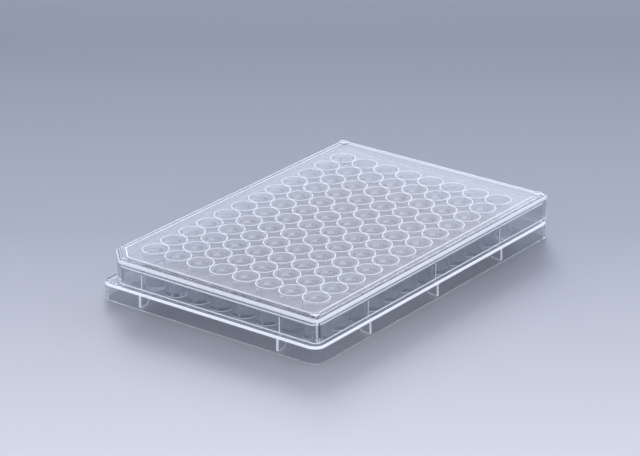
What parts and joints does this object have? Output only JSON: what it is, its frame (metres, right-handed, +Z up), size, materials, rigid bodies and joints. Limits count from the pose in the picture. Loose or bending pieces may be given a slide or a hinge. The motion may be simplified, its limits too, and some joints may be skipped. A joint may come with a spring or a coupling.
{
  "type": "well plate",
  "caption": "Clear plastic well plate with a grid of round flat-bottomed wells in a stepped foot, closed by a loose skirted lid.",
  "frame": {"origin": "centre of the foot's outline on the table plane", "axes": "+Z up, +X along the longer side with the columns of wells, +Y along the shorter side; the cut corner of body and lid is at -X, +Y"},
  "size_m": [0.1278, 0.0854, 0.0155],
  "materials": {
    "plate_polystyrene": "clear gloss",
    "lid_polystyrene": "clear gloss"
  },
  "bodies": {
    "root": {"well_plate": "plate_polystyrene", "lid": "lid_polystyrene"}
  },
  "joints": []
}
